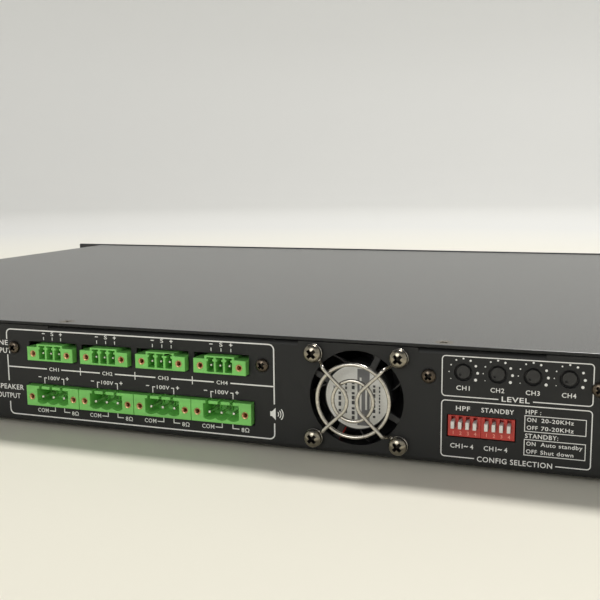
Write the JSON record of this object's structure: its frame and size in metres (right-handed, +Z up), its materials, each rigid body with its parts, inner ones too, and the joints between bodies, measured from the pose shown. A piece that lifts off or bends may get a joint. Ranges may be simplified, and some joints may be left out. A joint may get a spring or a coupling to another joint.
{
  "type": "power amplifier",
  "caption": "Slim rack-mounting audio power amplifier with green flanged line and speaker headers, a guarded cooling fan, recessed level controls and option switches on its rear panel.",
  "frame": {"origin": "centre of the footprint, on the surface that the feet stand on", "axes": "+X along the rack's width, to the right as seen from the front; +Y from the front panel to the rear panel; +Z up"},
  "size_m": [0.4826, 0.3838, 0.0457],
  "materials": {
    "cover_paint": "semi-matt dark grey powder coat, fine texture",
    "chassis_paint": "satin black paint, white printing",
    "front_paint": "satin black paint",
    "foot_rubber": "matt",
    "cover_screw_steel": "zinc plated, dulled",
    "panel_screw_steel": "dark bronze plating",
    "fan_screw_steel": "yellow-tinted zinc plating",
    "fan_plastic": "moulded, slight sheen",
    "label_foil": null,
    "guard_wire": "bright nickel wire",
    "header_green": "moulded polyamide, soft gloss",
    "tinned_pin": "bright tin",
    "insert_copper": "coppery brass",
    "pot_case": "moulded",
    "control_face": "moulded, soft gloss",
    "switch_red": "moulded",
    "lever_white": "moulded",
    "inlet_black": "moulded",
    "rocker_red": "moulded, soft gloss",
    "lamp_lens": "clear moulded lens",
    "board_green": "solder mask",
    "bare_aluminium": "extruded, lightly brushed",
    "transistor_black": "moulded epoxy",
    "copper_wire": "enamelled copper",
    "capacitor_sleeve": "shrunk sleeve",
    "transformer_core": "ferrite core and tape",
    "post_steel": "bright zinc",
    "lead_sleeve": "flexible insulation"
  },
  "bodies": {
    "case": {"chassis_tray": "chassis_paint", "top_cover": "cover_paint", "front_panel": "front_paint", "rubber_feet": "foot_rubber", "cover_screws": "cover_screw_steel", "front_panel_screws": "post_steel", "rear_panel_screws": "panel_screw_steel", "fan_housing": "fan_plastic", "fan_label": "label_foil", "fan_guard": "guard_wire", "fan_screws": "fan_screw_steel", "line_header_ch1": "header_green", "line_header_ch2": "header_green", "line_header_ch3": "header_green", "line_header_ch4": "header_green", "speaker_header_ch1": "header_green", "speaker_header_ch2": "header_green", "speaker_header_ch3": "header_green", "speaker_header_ch4": "header_green", "line_header_pins": "tinned_pin", "speaker_header_pins": "tinned_pin", "header_inserts": "insert_copper", "level_pot_ch1": "pot_case", "level_pot_ch2": "pot_case", "level_pot_ch3": "pot_case", "level_pot_ch4": "pot_case", "hpf_switch": "switch_red", "standby_switch": "switch_red", "mains_inlet": "inlet_black", "inlet_pins": "tinned_pin", "fuse_holder": "inlet_black", "power_switch": "inlet_black", "front_leds": "lamp_lens", "display_board": "board_green", "amp_board": "board_green", "input_board": "board_green", "level_board": "board_green", "supply_board": "board_green", "heat_sink": "bare_aluminium", "power_transistors": "transistor_black", "output_chokes": "copper_wire", "filter_capacitors": "capacitor_sleeve", "supply_transformer": "transformer_core", "standoffs": "post_steel", "wiring": "lead_sleeve"},
    "fan_rotor": {"fan_rotor": "fan_plastic"},
    "level_control_1": {"level_shaft_ch1": "control_face"},
    "level_control_2": {"level_shaft_ch2": "control_face"},
    "level_control_3": {"level_shaft_ch3": "control_face"},
    "level_control_4": {"level_shaft_ch4": "control_face"},
    "hpf_lever_1": {"hpf_lever_1": "lever_white"},
    "hpf_lever_2": {"hpf_lever_2": "lever_white"},
    "hpf_lever_3": {"hpf_lever_3": "lever_white"},
    "hpf_lever_4": {"hpf_lever_4": "lever_white"},
    "standby_lever_1": {"standby_lever_1": "lever_white"},
    "standby_lever_2": {"standby_lever_2": "lever_white"},
    "standby_lever_3": {"standby_lever_3": "lever_white"},
    "standby_lever_4": {"standby_lever_4": "lever_white"},
    "power_rocker": {"power_rocker": "rocker_red"},
    "fuse_cap": {"fuse_cap": "inlet_black"}
  },
  "joints": [
    {"name": "fan_spin", "type": "hinge", "parent": "case", "child": "fan_rotor", "pos_m": [-0.1243, 0.17575, 0.0235], "axis": [0, 1, 0], "continuous": true},
    {"name": "level_ch1_turn", "type": "hinge", "parent": "case", "child": "level_control_1", "pos_m": [-0.1628, 0.18575, 0.0358], "axis": [0, -1, 0], "range_deg": [0, 270]},
    {"name": "level_ch2_turn", "type": "hinge", "parent": "case", "child": "level_control_2", "pos_m": [-0.1745, 0.18575, 0.0358], "axis": [0, -1, 0], "range_deg": [0, 270]},
    {"name": "level_ch3_turn", "type": "hinge", "parent": "case", "child": "level_control_3", "pos_m": [-0.1862, 0.18575, 0.0358], "axis": [0, -1, 0], "range_deg": [0, 270]},
    {"name": "level_ch4_turn", "type": "hinge", "parent": "case", "child": "level_control_4", "pos_m": [-0.1979, 0.18575, 0.0358], "axis": [0, -1, 0], "range_deg": [0, 270]},
    {"name": "hpf_lever_1_slide", "type": "slide", "parent": "case", "child": "hpf_lever_1", "axis": [0, 0, 1], "range_m": [0, 0.0013]},
    {"name": "hpf_lever_2_slide", "type": "slide", "parent": "case", "child": "hpf_lever_2", "axis": [0, 0, 1], "range_m": [0, 0.0013]},
    {"name": "hpf_lever_3_slide", "type": "slide", "parent": "case", "child": "hpf_lever_3", "axis": [0, 0, 1], "range_m": [0, 0.0013]},
    {"name": "hpf_lever_4_slide", "type": "slide", "parent": "case", "child": "hpf_lever_4", "axis": [0, 0, 1], "range_m": [0, 0.0013]},
    {"name": "standby_lever_1_slide", "type": "slide", "parent": "case", "child": "standby_lever_1", "axis": [0, 0, 1], "range_m": [0, 0.0013]},
    {"name": "standby_lever_2_slide", "type": "slide", "parent": "case", "child": "standby_lever_2", "axis": [0, 0, 1], "range_m": [0, 0.0013]},
    {"name": "standby_lever_3_slide", "type": "slide", "parent": "case", "child": "standby_lever_3", "axis": [0, 0, 1], "range_m": [0, 0.0013]},
    {"name": "standby_lever_4_slide", "type": "slide", "parent": "case", "child": "standby_lever_4", "axis": [0, 0, 1], "range_m": [0, 0.0013]},
    {"name": "power_rocker_tilt", "type": "hinge", "parent": "case", "child": "power_rocker", "pos_m": [0.19, -0.18605, 0.0235], "axis": [-1, 0, 0], "range_deg": [0, 16]},
    {"name": "fuse_cap_turn", "type": "hinge", "parent": "case", "child": "fuse_cap", "pos_m": [0.13, 0.18575, 0.0235], "axis": [0, 1, 0], "range_deg": [0, 60]}
  ]
}
